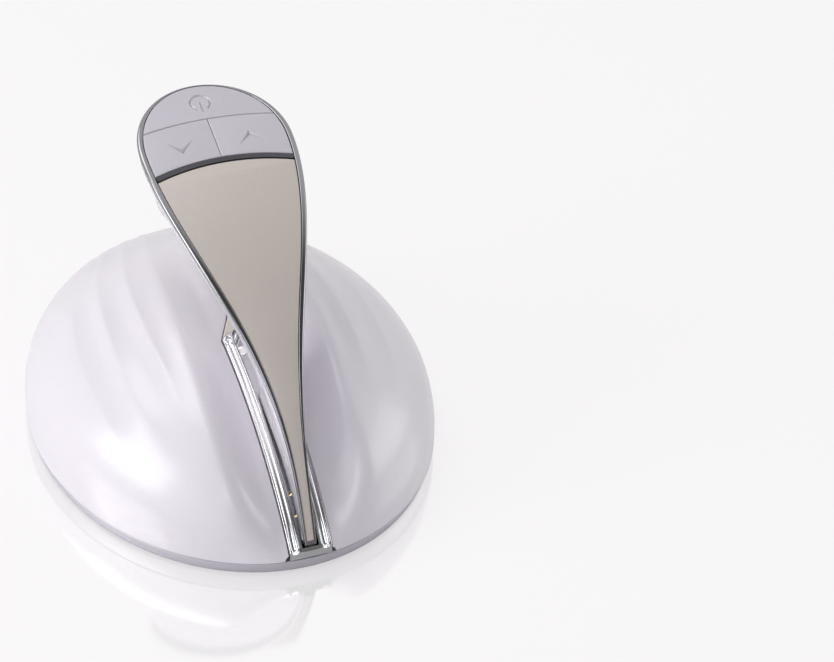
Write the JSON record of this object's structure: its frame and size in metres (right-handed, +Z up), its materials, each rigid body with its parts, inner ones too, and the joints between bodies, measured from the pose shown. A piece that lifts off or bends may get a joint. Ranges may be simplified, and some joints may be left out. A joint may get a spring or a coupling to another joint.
{
  "type": "facial toning device",
  "caption": "Spoon-shaped facial toning handset with keys on its face, standing in the trough of an oval, shell-shaped charging dock.",
  "frame": {"origin": "on the table, under the middle of the dock's outline", "axes": "+Z up, -Y towards the user, where the handset's tail meets the dock's rim, +X to the user's right"},
  "size_m": [0.15, 0.185, 0.1223],
  "materials": {
    "tray_grey": "satin",
    "foot_rubber": "matte",
    "screw_steel": "satin",
    "ballast_steel": "matte",
    "board_green": "satin",
    "black_plastic": "satin",
    "dome_pearl": "pearl gloss",
    "chrome": "polished",
    "spring_steel": "satin",
    "gold_contact": "polished",
    "shell_pearl": "pearl gloss",
    "panel_champagne": "fine metallic satin",
    "key_satin": "satin",
    "chassis_white": "matte",
    "switch_grey": "matte",
    "motor_steel": "satin",
    "cell_blue": "film sleeve",
    "flex_amber": "film",
    "seal_rubber": "matte",
    "electrode_steel": "polished",
    "ceramic": "fired ceramic"
  },
  "bodies": {
    "stand": {"base_tray": "tray_grey", "rubber_feet": "foot_rubber", "base_screws": "screw_steel", "ballast_plate": "ballast_steel", "charge_board": "board_green", "power_socket": "black_plastic", "dome_shell": "dome_pearl", "cradle": "chrome", "cradle_screws": "screw_steel", "pin_carrier": "black_plastic", "pin_springs": "spring_steel"},
    "handset": {"rear_shell": "shell_pearl", "side_frame": "chrome", "face_panel": "panel_champagne", "key_strip": "chrome", "mid_frame": "chassis_white", "key_board": "board_green", "tact_switches": "switch_grey", "board_screws": "screw_steel", "main_board": "board_green", "vibration_motor": "motor_steel", "battery": "cell_blue", "battery_tray": "chassis_white", "charge_flex": "flex_amber", "contact_pads": "gold_contact", "treatment_ring": "chrome", "ring_screws": "screw_steel", "plate_seal": "seal_rubber", "electrode_plate": "electrode_steel", "transducer": "ceramic"},
    "power_key": {"power_key": "key_satin"},
    "down_key": {"down_key": "key_satin"},
    "up_key": {"up_key": "key_satin"},
    "contact_pin_front": {"contact_pin_front": "gold_contact"},
    "contact_pin_rear": {"contact_pin_rear": "gold_contact"}
  },
  "joints": [
    {"name": "handset_lift", "type": "slide", "parent": "stand", "child": "handset", "axis": [0, 0, 1], "range_m": [0, 0.08]},
    {"name": "power_key_press", "type": "slide", "parent": "handset", "child": "power_key", "axis": [0, 0.3424, -0.9395], "range_m": [0, 0.0005], "stiffness_N_per_m": 900},
    {"name": "down_key_press", "type": "slide", "parent": "handset", "child": "down_key", "axis": [0, 0.3424, -0.9395], "range_m": [0, 0.0005], "stiffness_N_per_m": 900},
    {"name": "up_key_press", "type": "slide", "parent": "handset", "child": "up_key", "axis": [0, 0.3424, -0.9395], "range_m": [0, 0.0005], "stiffness_N_per_m": 900},
    {"name": "front_pin_press", "type": "slide", "parent": "stand", "child": "contact_pin_front", "axis": [0, 0.6521, -0.7581], "range_m": [0, 0.0008], "stiffness_N_per_m": 300},
    {"name": "rear_pin_press", "type": "slide", "parent": "stand", "child": "contact_pin_rear", "axis": [0, 0.6041, -0.7969], "range_m": [0, 0.0008], "stiffness_N_per_m": 300}
  ]
}
